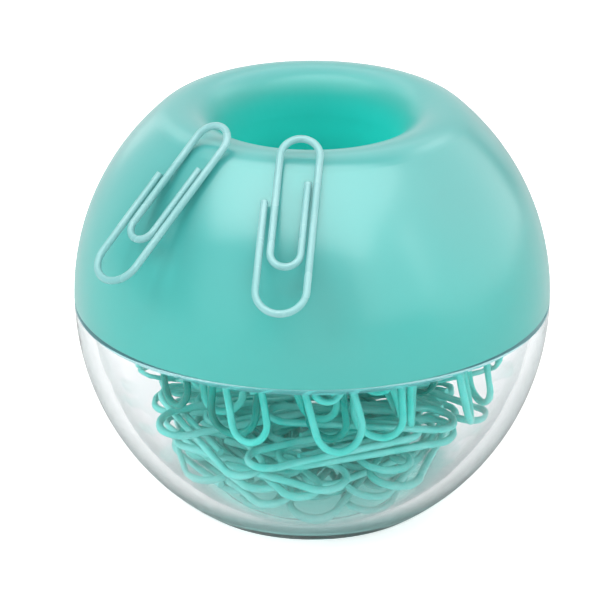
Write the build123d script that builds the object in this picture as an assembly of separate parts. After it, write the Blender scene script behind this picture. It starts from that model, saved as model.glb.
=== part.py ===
from build123d import *
import os
import random
from math import asin, atan2, cos, degrees, pi, radians, sin, sqrt, tan
import numpy as np

# Ball-shaped holder for paper clips. A clear bowl holds loose clips. The coloured dome pushed
# onto it has a wide mouth, and a ring magnet hidden in its lip holds clips inside and outside.
# Millimetres, +Z up, front at -Y, origin on the desk under the middle of the ball.

# Ball
ball_radius = 35.0            # outside, at the seam
seam_height = 31.7            # seam above the desk
base_radius = 18.4            # flat foot of the bowl
dome_height = 29.0            # crest of the lip above the seam

# Dome
dome_wall = 2.2
lip_radius = 6.05             # round of the lip, seen in section
lip_ring_radius = 18.7        # circle that the crest of the lip follows
throat_depth = 9.0            # straight throat below the round of the lip
throat_edge_round = 0.6
rib_count = 6
rib_thickness = 1.2

# Bowl
bowl_wall = 2.4
floor_thickness = 2.6
floor_round = 2.0
foot_width = 3.4
foot_recess = 0.8
foot_round = 1.2

# Seam: a spigot on the bowl enters a recess in the dome, and rounded edges meet outside
spigot_thickness = 1.2
spigot_height = 4.0
spigot_chamfer = 0.4
spigot_clearance = 0.15
spigot_top_clearance = 0.3
bowl_edge_round = 0.6
dome_edge_round = 0.25

# Magnet and its carrier
magnet_width = 5.0
magnet_height = 6.5
magnet_chamfer = 0.5
magnet_clearance = 0.1
carrier_wall = 0.9
carrier_floor = 1.0
carrier_depth = 4.5
carrier_fit = 0.05

# Clip: one bent wire, wide loop at one end, neck at the other, inner loop between
clip_length = 28.0
clip_width = 8.1
wire_diameter = 1.05          # with its coating
outer_gap = 0.45              # between the free outer leg and the neck's leg
inner_gap = 0.25              # between the inner leg and the long outer leg
inner_loop_setback = 7.1      # from the wide end to the inner loop
outer_leg_setback = 10.5      # from the neck end to the tip of the outer leg
inner_leg_setback = 7.4       # from the neck end to the tip of the inner leg

# Clips on the lip: turn from the front towards the left, slope of the lip where the clip
# touches, twist about that point (degrees), and reach of the neck end above it
front_clip_turn_angle = 6.5
front_clip_slope_angle = 48.9
front_clip_twist_angle = -0.2
front_clip_reach = 5.5
left_clip_turn_angle = 44.3
left_clip_slope_angle = 47.9
left_clip_twist_angle = -5.1
left_clip_reach = 5.8
cling_gap = 0.1               # between a held clip and what it clings to

# Clips inside
hanging_slots = 36            # places round the magnet, and one with no room stays empty
hanging_splay = (-4.0, 15.0)  # degrees that the lower end leans outwards
hanging_lean = 18.0           # degrees to either side
hanging_tries = 300           # places tried in each slot before it is left
hanging_seed = 4
pile_count = 40
pile_tilt = 22.0              # largest tilt of a clip in the pile, degrees
pile_tries = 600              # places tried for each clip before the lowest is kept
pile_seed = 3
stack_gap = 0.15              # room left between the loose clips
well_radius = 10.0            # clear space below the throat
drop_cell = 0.25              # grid on which the clips are dropped
clips_per_node = 2            # loose clips that share a node

# Worked out: dome
arc_offset = ball_radius - lip_ring_radius
lip_rise = dome_height - lip_radius
dome_arc = (arc_offset**2 + lip_rise**2 - lip_radius**2) / (2 * (arc_offset - lip_radius))
dome_arc_x = ball_radius - dome_arc
lip_height = seam_height + lip_rise
join_slope = degrees(atan2(lip_rise, lip_ring_radius - dome_arc_x))
throat_radius = lip_ring_radius - lip_radius
tube_radius = throat_radius + dome_wall
throat_end = lip_height - throat_depth

# Worked out: bowl
base_offset = ball_radius - base_radius
bowl_arc = (seam_height**2 + base_offset**2) / (2 * base_offset)
bowl_arc_x = ball_radius - bowl_arc
spigot_inner = ball_radius - bowl_wall
spigot_outer = spigot_inner + spigot_thickness
recess_radius = spigot_outer + spigot_clearance
recess_height = spigot_height + spigot_top_clearance

# Worked out: magnet and carrier
carrier_inner = tube_radius + carrier_fit
pocket_inner = carrier_inner + carrier_wall
magnet_inner = pocket_inner + magnet_clearance
magnet_outer = magnet_inner + magnet_width
pocket_outer = magnet_outer + magnet_clearance
carrier_outer = pocket_outer + carrier_wall
magnet_bottom = throat_end + carrier_floor
magnet_top = magnet_bottom + magnet_height

# Worked out: clip
wire_radius = wire_diameter / 2
wide_radius = clip_width / 2 - wire_radius
neck_radius = wide_radius - (wire_diameter + outer_gap) / 2
inner_radius = neck_radius - (wire_diameter + inner_gap) / 2


def turned(edges):
    return revolve(Plane.XZ * make_face(edges), axis=Axis.Z)


def chain(*points):
    return [Line(a, b) for a, b in zip(points, points[1:])]


def rims(part, radius, height):
    circles = part.edges().filter_by(GeomType.CIRCLE)
    return [e for e in circles if abs(e.radius - radius) < 1e-3 and abs(e.center().Z - height) < 1e-3]


def make_dome():
    inner_arc = dome_arc - dome_wall
    recess_slope = degrees(asin(recess_height / inner_arc))
    lip_centre = (lip_ring_radius, lip_height)
    arc_centre = (dome_arc_x, seam_height)
    side = CenterArc(arc_centre, dome_arc, 0, join_slope)
    lip = CenterArc(lip_centre, lip_radius, join_slope, 180 - join_slope)
    lip_inside = CenterArc(lip_centre, lip_radius - dome_wall, join_slope, 180 - join_slope)
    side_inside = CenterArc(arc_centre, inner_arc, recess_slope, join_slope - recess_slope)
    tube = chain(lip @ 1, (throat_radius, throat_end), (tube_radius, throat_end), lip_inside @ 1)
    recess_top = seam_height + recess_height
    skirt = chain(side_inside @ 0, (recess_radius, recess_top), (recess_radius, seam_height), side @ 0)
    dome = turned([side, lip, *tube, lip_inside, side_inside, *skirt])
    ends = rims(dome, throat_radius, throat_end) + rims(dome, tube_radius, throat_end)
    dome = fillet(ends, min(throat_edge_round, dome_wall / 3))
    dome = fillet(rims(dome, ball_radius, seam_height), dome_edge_round)
    return dome + make_ribs()


def make_ribs():
    root = lip_radius - dome_wall / 2
    rib_bottom = magnet_top + magnet_clearance
    pocket = turned(
        [
            CenterArc((lip_ring_radius, lip_height), root, 0, 180),
            *chain(
                (lip_ring_radius - root, lip_height),
                (lip_ring_radius - root, rib_bottom),
                (lip_ring_radius + root, rib_bottom),
                (lip_ring_radius + root, lip_height),
            ),
        ]
    )
    plate = Pos(magnet_outer / 2, 0, seam_height + dome_height / 2) * Box(
        magnet_outer, rib_thickness, dome_height
    )
    plates = [Rot(0, 0, 360 * i / rib_count) * plate for i in range(rib_count)]
    return [pocket & p for p in plates]


def make_bowl():
    inner_arc = bowl_arc - bowl_wall
    base_slope = degrees(asin(seam_height / bowl_arc))
    floor_slope = degrees(asin((seam_height - floor_thickness) / inner_arc))
    arc_centre = (bowl_arc_x, seam_height)
    side = CenterArc(arc_centre, bowl_arc, -base_slope, base_slope)
    side_inside = CenterArc(arc_centre, inner_arc, -floor_slope, floor_slope)
    foot_inner = base_radius - foot_width
    base = chain(
        side @ 0,
        (foot_inner, 0),
        (foot_inner, foot_recess),
        (0, foot_recess),
        (0, floor_thickness),
        side_inside @ 0,
    )
    spigot_top = seam_height + spigot_height
    rim = chain(
        side_inside @ 1,
        (spigot_inner, spigot_top),
        (spigot_outer, spigot_top),
        (spigot_outer, seam_height),
        side @ 1,
    )
    bowl = turned([side, *base, side_inside, *rim])
    bowl = fillet(rims(bowl, base_radius, 0), foot_round)
    bowl = fillet(rims(bowl, (side_inside @ 0).X, floor_thickness), floor_round)
    bowl = fillet(rims(bowl, ball_radius, seam_height), bowl_edge_round)
    return chamfer(rims(bowl, spigot_outer, spigot_top), spigot_chamfer)


def make_magnet():
    ring = turned(
        chain(
            (magnet_inner, magnet_bottom),
            (magnet_outer, magnet_bottom),
            (magnet_outer, magnet_top),
            (magnet_inner, magnet_top),
            (magnet_inner, magnet_bottom),
        )
    )
    return chamfer(ring.edges().filter_by(GeomType.CIRCLE), magnet_chamfer)


def make_carrier():
    collar_top = magnet_bottom + carrier_depth
    return turned(
        chain(
            (carrier_inner, throat_end),
            (carrier_outer, throat_end),
            (carrier_outer, collar_top),
            (pocket_outer, collar_top),
            (pocket_outer, magnet_bottom),
            (pocket_inner, magnet_bottom),
            (pocket_inner, collar_top),
            (carrier_inner, collar_top),
            (carrier_inner, throat_end),
        )
    )


def clip_line():
    # middle of the wire, wide end at -X, free outer leg on the +Y side, centred on its length
    wide_x = -clip_length / 2 + wire_radius + wide_radius
    neck_x = clip_length / 2 - wire_radius - neck_radius
    inner_x = -clip_length / 2 + inner_loop_setback + wire_radius + inner_radius
    neck_y = neck_radius - wide_radius
    left_y = neck_y + neck_radius
    inner_y = left_y - inner_radius
    outer_tip = clip_length / 2 - outer_leg_setback
    inner_tip = clip_length / 2 - inner_leg_setback
    return Wire(
        [
            Line((outer_tip, wide_radius), (wide_x, wide_radius)),
            CenterArc((wide_x, 0), wide_radius, 90, 180),
            Line((wide_x, -wide_radius), (neck_x, -wide_radius)),
            CenterArc((neck_x, neck_y), neck_radius, -90, 180),
            Line((neck_x, left_y), (inner_x, left_y)),
            CenterArc((inner_x, inner_y), inner_radius, 90, 180),
            Line((inner_x, inner_y - inner_radius), (inner_tip, inner_y - inner_radius)),
        ]
    )


def make_clip(line):
    section = Plane(origin=line @ 0, z_dir=line % 0) * Circle(wire_radius)
    return sweep(section, path=line)


def lip_place(turn, slope, twist, reach):
    # a straight clip that touches the outside of the lip or dome at one slope, neck end up
    out = Vector(-sin(radians(turn)), -cos(radians(turn)), 0)
    up = Vector(0, 0, 1)
    normal = out * cos(radians(slope)) + up * sin(radians(slope))
    uphill = up * cos(radians(slope)) - out * sin(radians(slope))
    length_way = uphill.rotate(Axis((0, 0, 0), normal), twist)
    if slope > join_slope:
        touch = out * lip_ring_radius + up * lip_height + normal * lip_radius
    else:
        touch = out * dome_arc_x + up * seam_height + normal * dome_arc
    middle = touch + normal * (wire_radius + cling_gap) + length_way * (reach - clip_length / 2)
    return Plane(origin=middle, x_dir=length_way, z_dir=normal)


def spread(line, step):
    count = int(line.length / step)
    return np.array([tuple(line @ (i / count)) for i in range(count + 1)])


def axes_from(length_way, normal):
    x = length_way / np.linalg.norm(length_way)
    z = normal - x * (normal @ x)
    z = z / np.linalg.norm(z)
    return np.array([x, np.cross(z, x), z])


class Heap:
    # for each cell of a grid, between which heights the middle of a wire is free

    def __init__(self):
        self.half = int(ball_radius / drop_cell) + 1
        side = np.arange(-self.half, self.half + 1) * drop_cell
        x, y = np.meshgrid(side, side, indexing="ij")
        off_wall = wire_radius + stack_gap
        reach = bowl_arc - bowl_wall - off_wall
        span = reach**2 - (np.hypot(x, y) - bowl_arc_x) ** 2
        wall = seam_height - np.sqrt(np.maximum(span, 0))
        wall = np.where(span > 0, wall, np.inf)
        self.lowest = np.maximum(wall, floor_thickness + off_wall)
        self.highest = np.full(self.lowest.shape, np.inf)

    def cells(self, points):
        cell = np.rint(points[:, :2] / drop_cell).astype(int) + self.half
        return np.clip(cell, 0, 2 * self.half).T

    def rise(self, points):
        # how far up the points come to rest, or infinity where there is no room
        i, j = self.cells(points)
        rise = np.max(self.lowest[i, j] - points[:, 2])
        room = np.min(self.highest[i, j] - points[:, 2])
        return rise if rise < room else np.inf

    def around(self, points):
        stack = wire_diameter + stack_gap
        reach = int(stack / drop_cell)
        i, j = self.cells(points)
        for di in range(-reach, reach + 1):
            for dj in range(-reach, reach + 1):
                square = stack**2 - (di**2 + dj**2) * drop_cell**2
                if square > 0:
                    near = np.clip(i + di, 0, 2 * self.half), np.clip(j + dj, 0, 2 * self.half)
                    yield near, sqrt(square)

    def lay(self, points):
        for near, off in self.around(points):
            np.maximum.at(self.lowest, near, points[:, 2] + off)

    def hang(self, points):
        for near, off in self.around(points):
            np.minimum.at(self.highest, near, points[:, 2] - off)


def hang_clips(points, heap):
    chance = random.Random(hanging_seed)
    places = []
    clouds = []
    hang_height = throat_end - wire_radius - cling_gap
    for k in range(hanging_slots):
        slot = 2 * pi * k / hanging_slots
        for _ in range(hanging_tries):
            turn = slot + chance.uniform(-1, 1) * pi / hanging_slots
            far = chance.uniform(tube_radius, carrier_outer)
            splay = tan(radians(chance.uniform(*hanging_splay)))
            lean = tan(radians(chance.uniform(-hanging_lean, hanging_lean)))
            twist = chance.uniform(0, 2 * pi)
            end_up = chance.choice((-1, 1))
            out = np.array([cos(turn), sin(turn), 0.0])
            across = np.array([-sin(turn), cos(turn), 0.0])
            upward = np.array([0.0, 0.0, 1.0]) - out * splay + across * lean
            axes = axes_from(upward * end_up, out * cos(twist) + across * sin(twist))
            cloud = points @ axes
            middle = out * far + (0, 0, hang_height) - cloud[np.argmax(cloud[:, 2])]
            cloud = cloud + middle
            off_axis = np.min(np.hypot(cloud[:, 0], cloud[:, 1]))
            if off_axis > well_radius + wire_radius and heap.rise(cloud) < 0 and apart(cloud, clouds):
                places.append((axes, middle))
                clouds.append(cloud)
                heap.hang(cloud)
                break
    return places


def drop_pile(points, heap):
    chance = random.Random(pile_seed)
    places = []
    for _ in range(pile_count):
        best = None
        for _ in range(pile_tries):
            far = base_radius * sqrt(chance.random())
            turn = chance.uniform(0, 2 * pi)
            heading = chance.uniform(0, 2 * pi)
            tilt = radians(chance.uniform(0, pile_tilt))
            lean = chance.uniform(0, 2 * pi)
            face = chance.choice((-1, 1))
            normal = np.array([sin(tilt) * cos(lean), sin(tilt) * sin(lean), cos(tilt)]) * face
            ahead = np.array([cos(heading), sin(heading), 0.0])
            axes = axes_from(ahead - normal * (ahead @ normal), normal)
            middle = np.array([far * cos(turn), far * sin(turn), 0.0])
            rise = heap.rise(points @ axes + middle)
            height = np.mean(points @ axes, axis=0)[2] + rise
            if np.isfinite(rise) and (best is None or height < best[0]):
                best = height, axes, middle + (0, 0, rise)
        if best:
            heap.lay(points @ best[1] + best[2])
            places.append(best[1:])
    return places


def apart(cloud, others):
    room = wire_diameter + stack_gap
    for other in others:
        steps = cloud[:, None, :] - other[None, :, :]
        if np.min(np.einsum("ijk,ijk->ij", steps, steps)) < room**2:
            return False
    return True


def placed(clip, place):
    axes, middle = place
    return Plane(origin=tuple(middle), x_dir=tuple(axes[0]), z_dir=tuple(axes[2])) * clip


line = clip_line()
clip = make_clip(line)
points = spread(line, wire_radius)
heap = Heap()
hanging = hang_clips(points, heap)
pile = drop_pile(points, heap)
front_place = lip_place(
    front_clip_turn_angle, front_clip_slope_angle, front_clip_twist_angle, front_clip_reach
)
left_place = lip_place(
    left_clip_turn_angle, left_clip_slope_angle, left_clip_twist_angle, left_clip_reach
)

nodes = {
    "bowl": make_bowl(),
    "dome": make_dome(),
    "ring_magnet": make_magnet(),
    "magnet_carrier": make_carrier(),
    "clip_front": front_place * clip,
    "clip_left": left_place * clip,
}
for number, place in enumerate(hanging, 1):
    nodes[f"hanging_clip_{number:02d}"] = placed(clip, place)
for first in range(0, len(pile), clips_per_node):
    group = [placed(clip, place) for place in pile[first:first + clips_per_node]]
    nodes[f"pile_clips_{first // clips_per_node + 1:02d}"] = Compound(group)

os.makedirs("parts", exist_ok=True)
for name, shape in nodes.items():
    export_step(shape, f"parts/{name}.step")
print(len(nodes), "pieces,", len(hanging), "hanging,", len(pile), "in the pile")
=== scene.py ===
import bpy
import math
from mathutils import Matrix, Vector

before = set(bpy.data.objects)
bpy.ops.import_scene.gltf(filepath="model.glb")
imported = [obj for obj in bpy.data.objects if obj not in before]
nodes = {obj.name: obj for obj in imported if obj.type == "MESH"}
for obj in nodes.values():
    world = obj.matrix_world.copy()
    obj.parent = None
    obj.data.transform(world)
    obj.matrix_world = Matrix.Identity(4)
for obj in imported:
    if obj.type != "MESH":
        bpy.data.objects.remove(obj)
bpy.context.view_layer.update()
clipNames = [name for name in nodes if "clip" in name]
print("frame loaded:", len(nodes), "pieces,", len(clipNames), "of them clips")


# shader helpers
def newMaterial(name):
    mat = bpy.data.materials.new(name)
    mat.use_nodes = True
    tree = mat.node_tree
    tree.nodes.clear()
    out = tree.nodes.new("ShaderNodeOutputMaterial")
    return mat, tree, out


# a value goes to the input of that name, or else to the node's own setting
def addNode(tree, kind, **values):
    node = tree.nodes.new(kind)
    for key, value in values.items():
        if key in node.inputs:
            node.inputs[key].default_value = value
        else:
            setattr(node, key, value)
    return node


# screen colour, 0 to 255, to linear light
def srgb(r, g, b):
    def lin(v):
        v = v / 255
        return v / 12.92 if v <= 0.04045 else ((v + 0.055) / 1.055) ** 2.4
    return (lin(r), lin(g), lin(b), 1)


# each of the two tones is a colour or another node's output
def toneMix(tree, tone, dark, light):
    mix = tree.nodes.new("ShaderNodeMix")
    mix.data_type = "RGBA"
    tree.links.new(tone, mix.inputs[0])
    for slot, colour in ((6, dark), (7, light)):  # the Mix node's two colour sockets
        if isinstance(colour, tuple):
            mix.inputs[slot].default_value = colour
        else:
            tree.links.new(colour, mix.inputs[slot])
    return mix.outputs[2]


# 0 to 1 becomes low to high
def rangeOf(tree, value, low, high):
    span = addNode(tree, "ShaderNodeMapRange")
    span.inputs["To Min"].default_value = low
    span.inputs["To Max"].default_value = high
    tree.links.new(value, span.inputs["Value"])
    return span.outputs["Result"]


# start to end becomes 0 to 1
def spanOf(tree, value, start, end, curve="SMOOTHSTEP"):
    span = addNode(tree, "ShaderNodeMapRange", interpolation_type=curve)
    span.inputs["From Min"].default_value = start
    span.inputs["From Max"].default_value = end
    tree.links.new(value, span.inputs["Value"])
    return span.outputs["Result"]


# distance from the upright axis
def offAxis(tree, axes):
    flat = tree.nodes.new("ShaderNodeCombineXYZ")
    far = addNode(tree, "ShaderNodeVectorMath", operation="LENGTH")
    tree.links.new(axes.outputs["X"], flat.inputs["X"])
    tree.links.new(axes.outputs["Y"], flat.inputs["Y"])
    tree.links.new(flat.outputs[0], far.inputs[0])
    return far.outputs["Value"]


def fineBump(tree, scale, strength, distance, detail=2.0):
    coord = tree.nodes.new("ShaderNodeTexCoord")
    noise = addNode(tree, "ShaderNodeTexNoise", Scale=scale, Detail=detail)
    bump = addNode(tree, "ShaderNodeBump", Strength=strength, Distance=distance)
    tree.links.new(coord.outputs["Object"], noise.inputs["Vector"])
    tree.links.new(noise.outputs["Fac"], bump.inputs["Height"])
    return bump.outputs["Normal"]


# a group takes a Scale and gives one value
def newGroup(name, result):
    group = bpy.data.node_groups.new(name, "ShaderNodeTree")
    group.interface.new_socket("Scale", in_out="INPUT", socket_type="NodeSocketFloat")
    group.interface.new_socket(result, in_out="OUTPUT", socket_type="NodeSocketFloat")
    inlet = group.nodes.new("NodeGroupInput")
    outlet = group.nodes.new("NodeGroupOutput")
    coord = group.nodes.new("ShaderNodeTexCoord")
    return group, inlet, outlet, coord


# slow drift of tone through a moulding, 0 to 1
mottle = {"detail": 3.0, "grain": 0.55, "spread": (0.3, 0.7)}


def buildMottleGroup():
    group, inlet, outlet, coord = newGroup("mouldingMottle", "Tone")
    noise = addNode(group, "ShaderNodeTexNoise", Detail=mottle["detail"], Roughness=mottle["grain"])
    group.links.new(coord.outputs["Object"], noise.inputs["Vector"])
    group.links.new(inlet.outputs["Scale"], noise.inputs["Scale"])
    tone = spanOf(group, noise.outputs["Fac"], *mottle["spread"], curve="LINEAR")
    group.links.new(tone, outlet.inputs["Tone"])
    return group


# hairline scuffs and finger smears from handling, 0 to 1
scuffs = {"turn": (0.4, 0.7, 0.3), "stretch": (1, 9, 1),
          "hairDetail": 6.0, "hairGrain": 0.7, "hairSpan": (0.58, 0.75),
          "smearScale": 60.0, "smearDetail": 2.0, "smearSpan": (0.45, 0.75)}


def buildHandlingGroup():
    group, inlet, outlet, coord = newGroup("handlingMarks", "Marks")
    stretch = addNode(group, "ShaderNodeMapping", Rotation=scuffs["turn"], Scale=scuffs["stretch"])
    hair = addNode(group, "ShaderNodeTexNoise",
                   Detail=scuffs["hairDetail"], Roughness=scuffs["hairGrain"])
    smear = addNode(group, "ShaderNodeTexNoise",
                    Scale=scuffs["smearScale"], Detail=scuffs["smearDetail"])
    both = addNode(group, "ShaderNodeMath", operation="MAXIMUM")
    group.links.new(coord.outputs["Object"], stretch.inputs["Vector"])
    group.links.new(stretch.outputs["Vector"], hair.inputs["Vector"])
    group.links.new(inlet.outputs["Scale"], hair.inputs["Scale"])
    group.links.new(coord.outputs["Object"], smear.inputs["Vector"])
    hairs = spanOf(group, hair.outputs["Fac"], *scuffs["hairSpan"], curve="LINEAR")
    smears = spanOf(group, smear.outputs["Fac"], *scuffs["smearSpan"], curve="LINEAR")
    group.links.new(hairs, both.inputs[0])
    group.links.new(smears, both.inputs[1])
    group.links.new(both.outputs[0], outlet.inputs["Marks"])
    return group


mottleGroup = buildMottleGroup()
handlingGroup = buildHandlingGroup()


def placeGroup(tree, group, scale):
    node = tree.nodes.new("ShaderNodeGroup")
    node.node_tree = group
    node.inputs["Scale"].default_value = scale
    return node


domeLook = {
    "low": srgb(61, 169, 162), "high": srgb(66, 162, 158),  # outside, near the seam and up at the lip, where the paler tone is painted sheen
    "side": (0.034, 0.058), "drift": 0.12,  # heights between them, and how far the tone wanders
    # inside the throat a deeper teal, brighter further down: painted light standing in for light
    # through the thin wall
    "throatTop": srgb(2, 152, 142), "throatDeepPaintedLight": srgb(2, 213, 200),
    "throatSpan": (0.0605, 0.0515),  # heights of those two
    "mouth": (0.0172, 0.0126),  # from the axis, where the lip turns into the throat
    "rough": (0.30, 0.38), "throatRough": 1.0,
    "gloss": 0.6, "coatRough": 0.22, "ior": 1.45,
    "toneScale": 90, "markScale": 260, "grain": (900, 0.03, 0.0002),
}


def makeDomePlastic():
    mat, tree, out = newMaterial("domePlastic")
    shader = addNode(tree, "ShaderNodeBsdfPrincipled", IOR=domeLook["ior"])
    shader.inputs["Coat Roughness"].default_value = domeLook["coatRough"]
    coord = tree.nodes.new("ShaderNodeTexCoord")
    axes = tree.nodes.new("ShaderNodeSeparateXYZ")
    tree.links.new(coord.outputs["Object"], axes.inputs[0])
    height = axes.outputs["Z"]
    tone = placeGroup(tree, mottleGroup, domeLook["toneScale"])
    marks = placeGroup(tree, handlingGroup, domeLook["markScale"])
    inward = spanOf(tree, offAxis(tree, axes), *domeLook["mouth"])
    # the dome pales with height on top of the random tone drift: painted sheen
    driftAndPaintedSheen = addNode(tree, "ShaderNodeMath", operation="MULTIPLY_ADD", use_clamp=True)
    driftAndPaintedSheen.inputs[1].default_value = domeLook["drift"]
    tree.links.new(tone.outputs["Tone"], driftAndPaintedSheen.inputs[0])
    tree.links.new(spanOf(tree, height, *domeLook["side"]), driftAndPaintedSheen.inputs[2])
    outside = toneMix(tree, driftAndPaintedSheen.outputs[0], domeLook["low"], domeLook["high"])
    # painted light: the throat brightens further down
    deep = spanOf(tree, height, *domeLook["throatSpan"])
    throat = toneMix(tree, deep, domeLook["throatTop"], domeLook["throatDeepPaintedLight"])
    tree.links.new(toneMix(tree, inward, outside, throat), shader.inputs["Base Color"])
    # the throat is dull and the outside glossy
    rough = tree.nodes.new("ShaderNodeMix")
    rough.inputs[3].default_value = domeLook["throatRough"]
    tree.links.new(inward, rough.inputs[0])
    tree.links.new(rangeOf(tree, marks.outputs["Marks"], *domeLook["rough"]), rough.inputs[2])
    tree.links.new(rough.outputs[0], shader.inputs["Roughness"])
    tree.links.new(rangeOf(tree, inward, domeLook["gloss"], 0.0), shader.inputs["Coat Weight"])
    tree.links.new(fineBump(tree, *domeLook["grain"]), shader.inputs["Normal"])
    tree.links.new(shader.outputs[0], out.inputs["Surface"])
    return mat


bowlLook = {
    # the wall darkens where it turns from view, darkest low down: painted shade standing for dark
    # surroundings seen through the edge
    "face": srgb(242, 243, 244), "paintedEdgeShade": srgb(150, 172, 172), "paintedLowEdgeShade": srgb(50, 84, 84),
    "facing": 0.5, "turn": (0.5, 0.95),  # how far the wall turns away before it shows its painted edge shade
    "lowPart": (0.022, 0.008),  # heights between the two painted edge shades
    # the foot band is tinted darker: painted shade standing for the dark underside seen through it
    "foot": srgb(134, 188, 185), "footTop": (0.006, 0.0015),
    # painted reflection of the clips, tinting the clear floor teal where they lie
    "paintedClipReflection": srgb(122, 220, 212), "wellEdge": (0.0178, 0.0160),
    "rough": (0.01, 0.04), "markScale": 240, "ior": 1.49, "glint": 0.1,
    "body": srgb(190, 206, 207), "density": 12.0,
    # painted shade and glow along the rim, making the seam's grey-teal line
    "rim": srgb(112, 156, 156), "rimGlow": (0.085, 0.23, 0.25, 1),
    "rimLow": (0.0309, 0.0312), "rimHigh": (0.0320, 0.0318),
}


def makeClearPlastic():
    mat, tree, out = newMaterial("clearPlastic")
    shader = addNode(tree, "ShaderNodeBsdfPrincipled", IOR=bowlLook["ior"])
    shader.inputs["Transmission Weight"].default_value = 1.0
    shader.inputs["Specular Tint"].default_value = (bowlLook["glint"],) * 3 + (1,)
    coord = tree.nodes.new("ShaderNodeTexCoord")
    axes = tree.nodes.new("ShaderNodeSeparateXYZ")
    tree.links.new(coord.outputs["Object"], axes.inputs[0])
    height = axes.outputs["Z"]
    # painted shade: darker where the wall turns away, darker still low down
    facing = addNode(tree, "ShaderNodeLayerWeight", Blend=bowlLook["facing"])
    low = spanOf(tree, height, *bowlLook["lowPart"])
    paintedEdgeShade = toneMix(tree, low, bowlLook["paintedEdgeShade"], bowlLook["paintedLowEdgeShade"])
    turned = spanOf(tree, facing.outputs["Facing"], *bowlLook["turn"])
    wall = toneMix(tree, turned, bowlLook["face"], paintedEdgeShade)
    # painted reflection: the clear floor under the clips is tinted with their teal
    paintedClipReflection = spanOf(tree, offAxis(tree, axes), *bowlLook["wellEdge"])
    bottom = toneMix(tree, paintedClipReflection, bowlLook["foot"], bowlLook["paintedClipReflection"])
    # painted shade: the foot below footTop takes the darker tint
    base = toneMix(tree, spanOf(tree, height, *bowlLook["footTop"]), wall, bottom)
    # painted shade and painted glow: the rim is tinted darker and glows faintly, standing for the
    # seam's shaded line and light piped up the clear wall
    rim = addNode(tree, "ShaderNodeMath", operation="MULTIPLY")
    tree.links.new(spanOf(tree, height, *bowlLook["rimLow"]), rim.inputs[0])
    tree.links.new(spanOf(tree, height, *bowlLook["rimHigh"]), rim.inputs[1])
    colour = toneMix(tree, rim.outputs[0], base, bowlLook["rim"])
    tree.links.new(colour, shader.inputs["Base Color"])
    glow = toneMix(tree, rim.outputs[0], (0, 0, 0, 1), bowlLook["rimGlow"])
    tree.links.new(glow, shader.inputs["Emission Color"])
    shader.inputs["Emission Strength"].default_value = 1.0
    marks = placeGroup(tree, handlingGroup, bowlLook["markScale"])
    rough = rangeOf(tree, marks.outputs["Marks"], *bowlLook["rough"])
    tree.links.new(rough, shader.inputs["Roughness"])
    # light passes straight through to the clips
    path = tree.nodes.new("ShaderNodeLightPath")
    clear = addNode(tree, "ShaderNodeBsdfTransparent")
    mix = tree.nodes.new("ShaderNodeMixShader")
    tree.links.new(path.outputs["Is Shadow Ray"], mix.inputs[0])
    tree.links.new(shader.outputs[0], mix.inputs[1])
    tree.links.new(clear.outputs[0], mix.inputs[2])
    tree.links.new(mix.outputs[0], out.inputs["Surface"])
    body = addNode(tree, "ShaderNodeVolumeAbsorption",
                   Color=bowlLook["body"], Density=bowlLook["density"])
    tree.links.new(body.outputs[0], out.inputs["Volume"])
    return mat


# vinyl coats of the clips, one teal vinyl in lit and shaded copies: the pale lip coat is painted
# sheen on the clips out on the dome, the shady coat is painted shade on every third hanging clip, and
# the pile's coat is painted a little paler than the hanging one
coatBase = {"toneScale": 120, "markScale": 420, "grain": (1400, 0.08, 0.0001), "metal": 0.0}
clipLooks = {
    "hangingCoat": {**coatBase, "dark": srgb(46, 216, 202), "light": srgb(104, 234, 224),
                    "rough": (0.2, 0.34), "ior": 1.4},
    "paintedShadeCoat": {**coatBase, "dark": srgb(4, 142, 130), "light": srgb(26, 184, 171),
                  "rough": (0.2, 0.34), "ior": 1.34},
    "pileCoat": {**coatBase, "dark": srgb(62, 212, 201), "light": srgb(128, 228, 221),
                 "rough": (0.2, 0.34), "ior": 1.42},
    "lipSheenCoat": {**coatBase, "dark": srgb(112, 174, 174), "light": srgb(136, 185, 186),
                "rough": (0.24, 0.38), "ior": 1.5},
}
# every third hanging clip takes the darker copy, painted shade
paintedShadeEvery = 3

carrierLook = {"dark": srgb(52, 160, 155), "light": srgb(62, 172, 167), "rough": (0.38, 0.52),
               "ior": 1.5, "metal": 0.0, "toneScale": 110, "markScale": 300}

ferriteLook = {"dark": srgb(44, 44, 47), "light": srgb(66, 66, 70), "rough": (0.5, 0.7),
               "ior": 1.5, "metal": 0.25, "toneScale": 700, "markScale": 500,
               "grain": (2500, 0.3, 0.0001)}


# solid finish of a clip, the carrier or the magnet
def makeFinish(name, look):
    mat, tree, out = newMaterial(name)
    shader = addNode(tree, "ShaderNodeBsdfPrincipled", IOR=look["ior"], Metallic=look["metal"])
    tone = placeGroup(tree, mottleGroup, look["toneScale"])
    marks = placeGroup(tree, handlingGroup, look["markScale"])
    colour = toneMix(tree, tone.outputs["Tone"], look["dark"], look["light"])
    rough = rangeOf(tree, marks.outputs["Marks"], *look["rough"])
    tree.links.new(colour, shader.inputs["Base Color"])
    tree.links.new(rough, shader.inputs["Roughness"])
    if "grain" in look:
        tree.links.new(fineBump(tree, *look["grain"]), shader.inputs["Normal"])
    tree.links.new(shader.outputs[0], out.inputs["Surface"])
    return mat


def coatOf(name):
    words = name.split("_")
    if words[0] == "hanging":
        return "hangingCoat" if int(words[-1]) % paintedShadeEvery else "paintedShadeCoat"
    return "pileCoat" if words[0] == "pile" else "lipSheenCoat"


def dress(name, mat):
    mesh = nodes[name].data
    mesh.materials.clear()
    mesh.materials.append(mat)


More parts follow.
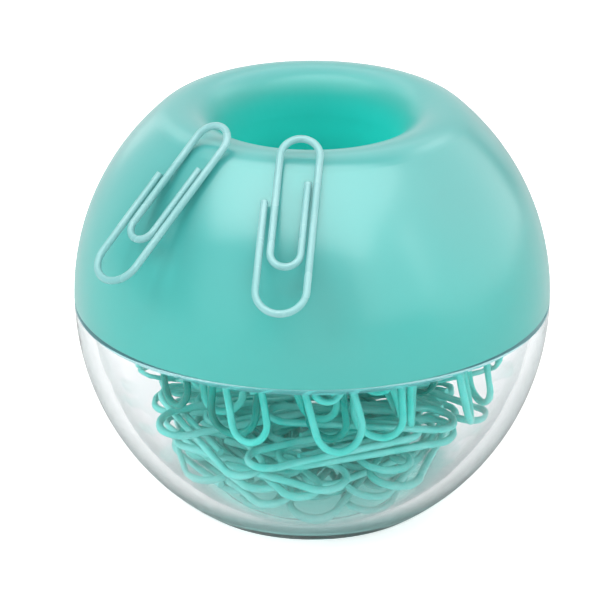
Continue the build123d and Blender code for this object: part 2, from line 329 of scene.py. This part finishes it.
dress("dome", makeDomePlastic())
dress("bowl", makeClearPlastic())
dress("magnet_carrier", makeFinish("carrierPlastic", carrierLook))
dress("ring_magnet", makeFinish("ferrite", ferriteLook))
clipCoats = {name: makeFinish(name, look) for name, look in clipLooks.items()}
for name in clipNames:
    dress(name, clipCoats[coatOf(name)])
print("pieces dressed")

# floor and world: white to the eye and through the clear bowl, dimmer in gloss
stage = {"size": 6.0, "tone": srgb(236, 236, 236), "inGloss": srgb(206, 206, 206), "rough": 0.9,
         "eyeWhite": 0.55, "throughGlass": 0.56,  # glow of the floor
         "light": 0.72, "inSheen": 0.25}  # strength of the world


def makeFloor():
    bpy.ops.object.select_all(action="DESELECT")
    bpy.ops.mesh.primitive_plane_add(size=stage["size"], location=(0, 0, 0))
    floor = bpy.context.object
    floor.name = "deskFloor"
    mat, tree, out = newMaterial("floorWhite")
    shader = addNode(tree, "ShaderNodeBsdfPrincipled", Roughness=stage["rough"])
    shader.inputs["Specular IOR Level"].default_value = 0.0
    path = tree.nodes.new("ShaderNodeLightPath")
    colour = toneMix(tree, path.outputs["Is Glossy Ray"], stage["tone"], stage["inGloss"])
    tree.links.new(colour, shader.inputs["Base Color"])
    glow = addNode(tree, "ShaderNodeEmission")
    seen = addNode(tree, "ShaderNodeMath", operation="MULTIPLY")
    seen.inputs[1].default_value = stage["eyeWhite"]
    level = addNode(tree, "ShaderNodeMath", operation="MULTIPLY_ADD")
    level.inputs[1].default_value = stage["throughGlass"]
    both = tree.nodes.new("ShaderNodeAddShader")
    tree.links.new(path.outputs["Is Camera Ray"], seen.inputs[0])
    tree.links.new(path.outputs["Is Transmission Ray"], level.inputs[0])
    tree.links.new(seen.outputs[0], level.inputs[2])
    tree.links.new(level.outputs[0], glow.inputs["Strength"])
    tree.links.new(shader.outputs[0], both.inputs[0])
    tree.links.new(glow.outputs[0], both.inputs[1])
    tree.links.new(both.outputs[0], out.inputs["Surface"])
    floor.data.materials.append(mat)


def makeWorld():
    world = bpy.data.worlds.new("studioWorld")
    bpy.context.scene.world = world
    world.use_nodes = True
    tree = world.node_tree
    tree.nodes.clear()
    out = tree.nodes.new("ShaderNodeOutputWorld")
    back = addNode(tree, "ShaderNodeBackground")
    path = tree.nodes.new("ShaderNodeLightPath")
    eye = addNode(tree, "ShaderNodeMath", operation="MAXIMUM")
    tree.links.new(path.outputs["Is Camera Ray"], eye.inputs[0])
    tree.links.new(path.outputs["Is Transmission Ray"], eye.inputs[1])
    level = rangeOf(tree, eye.outputs[0], stage["light"], 1.0)
    # reflections see a dimmer room than the one that lights the pieces
    mirror = addNode(tree, "ShaderNodeMath", operation="SUBTRACT", use_clamp=True)
    strength = addNode(tree, "ShaderNodeMath", operation="MULTIPLY_ADD")
    strength.inputs[1].default_value = stage["inSheen"] - stage["light"]
    tree.links.new(path.outputs["Is Glossy Ray"], mirror.inputs[0])
    tree.links.new(eye.outputs[0], mirror.inputs[1])
    tree.links.new(mirror.outputs[0], strength.inputs[0])
    tree.links.new(level, strength.inputs[2])
    tree.links.new(strength.outputs[0], back.inputs["Strength"])
    tree.links.new(back.outputs[0], out.inputs["Surface"])


# soft boxes round the object: turn from the front to the left, rise, width, height, watts,
# and whether they light the pieces or only shine in their gloss
lampPlace = {"distance": 0.9, "aim": 0.04}
lampTable = {
    "keyBox": (50, 56, 0.3, 0.3, 1.7, True, False),
    "topBox": (350, 64, 0.3, 0.3, 0.5, True, False),
    "leftBox": (95, 30, 0.6, 0.6, 4.1, True, False),
    "rightBox": (270, 32, 0.6, 0.6, 3.2, True, False),
    "backBox": (180, 40, 0.6, 0.6, 1.3, True, False),
    "frontFill": (355, 12, 0.5, 0.5, 3.1, True, False),
    "topSheen": (16, 71, 1.5, 1.0, 21.5, False, True),
    "rightSheen": (262, 18, 1.5, 1.5, 12.5, False, True),
    "foreSheen": (318, 22, 0.6, 0.6, 2.1, False, True),
    "backSheen": (180, 12, 1.2, 1.2, 3.3, False, True),
    "crestSheen": (180, 53, 1.3, 0.5, 2.8, False, True),
    "leftSheen": (136, 17, 0.7, 0.7, 1.1, False, True),
    "frontSheen": (42, 14, 0.5, 0.5, 0.8, False, True),
}


def makeLamps():
    for name, (turn, rise, width, height, watts, lights, shines) in lampTable.items():
        data = bpy.data.lights.new(name, "AREA")
        data.shape = "RECTANGLE"
        data.size = width
        data.size_y = height
        data.energy = watts
        lamp = bpy.data.objects.new(name, data)
        bpy.context.collection.objects.link(lamp)
        lamp.visible_diffuse = lights
        lamp.visible_transmission = lights
        lamp.visible_glossy = shines
        t = math.radians(turn)
        r = math.radians(rise)
        way = Vector((-math.sin(t) * math.cos(r), -math.cos(t) * math.cos(r), math.sin(r)))
        lamp.location = way * lampPlace["distance"] + Vector((0, 0, lampPlace["aim"]))
        lamp.rotation_euler = (-way).to_track_quat("-Z", "Y").to_euler()


# the photograph's view: aim at the seam's height, elevation in degrees, lens and sensor in
# millimetres, shift in pixels of a frame of that width
view = {"aim": 0.0317, "distance": 0.5134, "elevation": 23.24, "lens": 209.07, "sensor": 36,
        "shift": (12.2, 9.0), "frame": 600, "near": 0.01}


def makeCamera():
    data = bpy.data.cameras.new("photoCamera")
    camera = bpy.data.objects.new("photoCamera", data)
    bpy.context.collection.objects.link(camera)
    tilt = math.radians(view["elevation"])
    away = view["distance"] * math.cos(tilt)
    above = view["distance"] * math.sin(tilt)
    camera.location = (0, -away, view["aim"] + above)
    camera.rotation_euler = (math.pi / 2 - tilt, 0, 0)
    data.sensor_width = view["sensor"]
    data.lens = view["lens"]
    data.clip_start = view["near"]
    data.shift_x = -view["shift"][0] / view["frame"]
    data.shift_y = -view["shift"][1] / view["frame"]
    bpy.context.scene.camera = camera


makeFloor()
makeWorld()
makeLamps()
makeCamera()
bpy.context.scene.view_settings.view_transform = "Standard"
print("stage, lamps and camera set")
